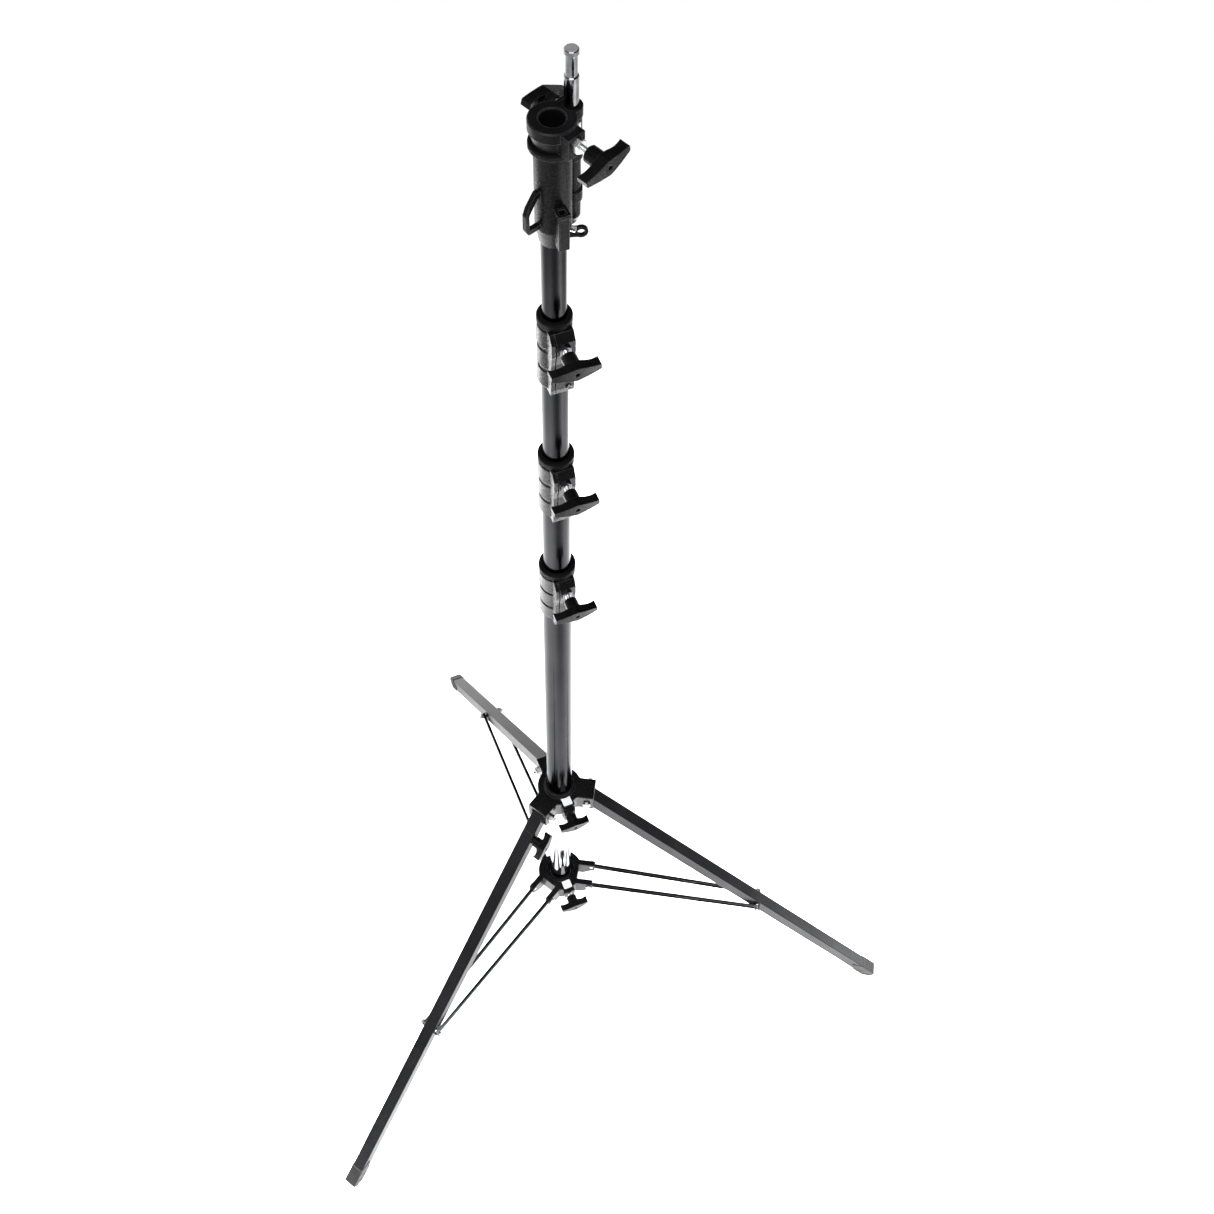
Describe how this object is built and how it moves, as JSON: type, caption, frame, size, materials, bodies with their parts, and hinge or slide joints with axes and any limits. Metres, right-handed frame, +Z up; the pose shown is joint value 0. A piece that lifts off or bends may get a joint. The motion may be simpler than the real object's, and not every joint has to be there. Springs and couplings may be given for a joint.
{
  "type": "combination lighting stand",
  "caption": "Black telescopic lighting stand with folding braced legs, one levelling leg, lock knobs, and a head with a wide socket beside a slim spigot.",
  "frame": {"origin": "on the floor, on the column's axis", "axes": "+Z up the column; the back leg stands towards +Y and the column's lock knobs point towards -Y"},
  "size_m": [1.198, 1.0381, 2.336],
  "materials": {
    "tube_black": "satin black anodised",
    "casting_black": "fine textured black powder coat",
    "rubber_black": "matte",
    "chrome": "polished",
    "knob_black": "moulded, slightly glossy",
    "stud_steel": "bright zinc",
    "blackened_steel": "blackened",
    "brass": "plain",
    "nylon": "natural",
    "leg_black": "satin black anodised",
    "foot_plastic": "matte",
    "brace_steel": "satin black paint"
  },
  "bodies": {
    "root": {"base_tube": "tube_black", "centre_tube": "chrome", "upper_spider": "casting_black", "collar_lower": "casting_black", "collar_lower_ring": "rubber_black", "collar_lower_hardware": "blackened_steel", "collar_lower_shoe": "brass", "leg_pivot_bolts": "stud_steel"},
    "riser_lower": {"riser_lower_tube": "tube_black", "riser_lower_bush": "nylon", "collar_middle": "casting_black", "collar_middle_ring": "rubber_black", "collar_middle_hardware": "blackened_steel", "collar_middle_shoe": "brass"},
    "riser_middle": {"riser_middle_tube": "tube_black", "riser_middle_bush": "nylon", "collar_upper": "casting_black", "collar_upper_ring": "rubber_black", "collar_upper_hardware": "blackened_steel", "collar_upper_shoe": "brass"},
    "riser_guide": {"riser_upper_bush": "nylon"},
    "head": {"riser_upper_tube": "tube_black", "head_casting": "casting_black", "head_accessory_socket": "casting_black", "head_bumper": "rubber_black", "head_hardware": "stud_steel"},
    "spigot": {"spigot": "chrome"},
    "lower_spider": {"lower_spider": "casting_black", "brace_pivot_pins": "stud_steel"},
    "leg_back": {"leg_back_tube": "leg_black", "leg_back_foot": "foot_plastic"},
    "leg_right": {"leg_right_tube": "leg_black", "leg_right_foot": "foot_plastic"},
    "level_pivot": {"level_pivot_bolt": "stud_steel"},
    "level_bar": {"leg_level_inner_bar": "leg_black"},
    "leg_level": {"leg_level_tube": "leg_black", "leg_level_foot": "foot_plastic"},
    "brace_back": {"brace_back_bars": "brace_steel", "brace_back_bolts": "blackened_steel"},
    "brace_right": {"brace_right_bars": "brace_steel", "brace_right_bolts": "blackened_steel"},
    "brace_level_pivot": {"brace_level_pins": "stud_steel"},
    "brace_level": {"brace_level_bars": "brace_steel", "brace_level_bolts": "blackened_steel"},
    "knob_collar_lower": {"collar_lower_knob": "knob_black", "collar_lower_knob_stud": "stud_steel"},
    "knob_collar_middle": {"collar_middle_knob": "knob_black", "collar_middle_knob_stud": "stud_steel"},
    "knob_collar_upper": {"collar_upper_knob": "knob_black", "collar_upper_knob_stud": "stud_steel"},
    "knob_socket": {"socket_knob": "knob_black", "socket_knob_stud": "stud_steel"},
    "knob_spigot": {"spigot_knob": "knob_black", "spigot_knob_stud": "stud_steel"},
    "knob_upper_spider": {"upper_spider_knob": "knob_black", "upper_spider_knob_stud": "stud_steel"},
    "knob_lower_spider": {"lower_spider_knob": "knob_black", "lower_spider_knob_stud": "stud_steel"},
    "knob_level": {"level_knob": "knob_black", "level_knob_stud": "stud_steel"}
  },
  "joints": [
    {"name": "lower_riser_slide", "type": "slide", "parent": "root", "child": "riser_lower", "axis": [0, 0, 1], "range_m": [-0.122, 0.437]},
    {"name": "middle_riser_slide", "type": "slide", "parent": "riser_lower", "child": "riser_middle", "axis": [0, 0, 1], "range_m": [-0.136, 0.53]},
    {"name": "upper_riser_slide", "type": "slide", "parent": "riser_middle", "child": "riser_guide", "axis": [0, 0, 1], "range_m": [-0.105, 0.66]},
    {"name": "head_swivel", "type": "hinge", "parent": "riser_guide", "child": "head", "pos_m": [0, 0, 2.19], "axis": [0, 0, 1], "continuous": true},
    {"name": "spigot_slide", "type": "slide", "parent": "head", "child": "spigot", "axis": [0, 0, 1], "range_m": [-0.05, 0.02]},
    {"name": "fold", "type": "slide", "parent": "root", "child": "lower_spider", "axis": [0, 0, 1], "range_m": [0, 0.1912]},
    {"name": "leg_back_hinge", "type": "hinge", "parent": "root", "child": "leg_back", "pos_m": [0, 0.053, 0.69], "axis": [-1, 0, 0], "range_deg": [0, 42.2]},
    {"name": "brace_back_hinge", "type": "hinge", "parent": "lower_spider", "child": "brace_back", "pos_m": [0, 0.061, 0.32], "axis": [-1, 0, 0], "range_deg": [0, 88.67]},
    {"name": "leg_right_hinge", "type": "hinge", "parent": "root", "child": "leg_right", "pos_m": [0.0459, -0.0265, 0.69], "axis": [0.5, 0.866, 0], "range_deg": [0, 42.2]},
    {"name": "brace_right_hinge", "type": "hinge", "parent": "lower_spider", "child": "brace_right", "pos_m": [0.05283, -0.0305, 0.32], "axis": [0.5, 0.866, 0], "range_deg": [0, 88.67]},
    {"name": "leg_level_hinge", "type": "hinge", "parent": "root", "child": "level_pivot", "pos_m": [-0.0459, -0.0265, 0.69], "axis": [0.5, -0.866, 0], "range_deg": [0, 42.2]},
    {"name": "leg_level_trim", "type": "hinge", "parent": "level_pivot", "child": "level_bar", "pos_m": [-0.0459, -0.0265, 0.69], "axis": [0.5, -0.866, 0], "range_deg": [0, 7.2]},
    {"name": "level_slide", "type": "slide", "parent": "level_bar", "child": "leg_level", "axis": [0.5817, 0.3359, 0.7408], "range_m": [-0.06, 0]},
    {"name": "brace_level_hinge", "type": "hinge", "parent": "lower_spider", "child": "brace_level_pivot", "pos_m": [-0.05283, -0.0305, 0.32], "axis": [0.5, -0.866, 0], "range_deg": [0, 88.67]},
    {"name": "brace_level_trim", "type": "hinge", "parent": "brace_level_pivot", "child": "brace_level", "pos_m": [-0.05283, -0.0305, 0.32], "axis": [0.5, -0.866, 0], "range_deg": [0, 15.36]},
    {"name": "collar_lower_knob_turn", "type": "hinge", "parent": "root", "child": "knob_collar_lower", "pos_m": [0, 0, 1.41], "axis": [0, -1, 0], "range_deg": [0, 270]},
    {"name": "collar_middle_knob_turn", "type": "hinge", "parent": "riser_lower", "child": "knob_collar_middle", "pos_m": [0, 0, 1.671], "axis": [0, -1, 0], "range_deg": [0, 270]},
    {"name": "collar_upper_knob_turn", "type": "hinge", "parent": "riser_middle", "child": "knob_collar_upper", "pos_m": [0, 0, 1.938], "axis": [0, -1, 0], "range_deg": [0, 270]},
    {"name": "socket_knob_turn", "type": "hinge", "parent": "head", "child": "knob_socket", "pos_m": [0, 0, 2.251], "axis": [0.3907, -0.9205, 0], "range_deg": [0, 270]},
    {"name": "spigot_knob_turn", "type": "hinge", "parent": "head", "child": "knob_spigot", "pos_m": [0.02577, 0.01094, 2.25], "axis": [-0.3907, 0.9205, 0], "range_deg": [0, 270]},
    {"name": "upper_spider_knob_turn", "type": "hinge", "parent": "root", "child": "knob_upper_spider", "pos_m": [0, 0, 0.688], "axis": [0, -1, 0], "range_deg": [0, 270]},
    {"name": "lower_spider_knob_turn", "type": "hinge", "parent": "lower_spider", "child": "knob_lower_spider", "pos_m": [0, 0, 0.315], "axis": [0, -1, 0], "range_deg": [0, 270]},
    {"name": "level_knob_turn", "type": "hinge", "parent": "leg_level", "child": "knob_level", "pos_m": [-0.07964, -0.04598, 0.64703], "axis": [0.5, -0.866, 0], "range_deg": [0, 270]}
  ],
  "couplings": [
    {"joint": "leg_back_hinge", "follows": "fold", "rad_per_m": 3.8521},
    {"joint": "leg_right_hinge", "follows": "fold", "rad_per_m": 3.8521},
    {"joint": "leg_level_hinge", "follows": "fold", "rad_per_m": 3.8521},
    {"joint": "brace_back_hinge", "follows": "fold", "rad_per_m": 8.0937},
    {"joint": "brace_right_hinge", "follows": "fold", "rad_per_m": 8.0937},
    {"joint": "brace_level_hinge", "follows": "fold", "rad_per_m": 8.0937},
    {"joint": "leg_level_trim", "follows": "level_slide", "rad_per_m": -2.0812},
    {"joint": "brace_level_trim", "follows": "level_slide", "rad_per_m": -4.4524}
  ]
}
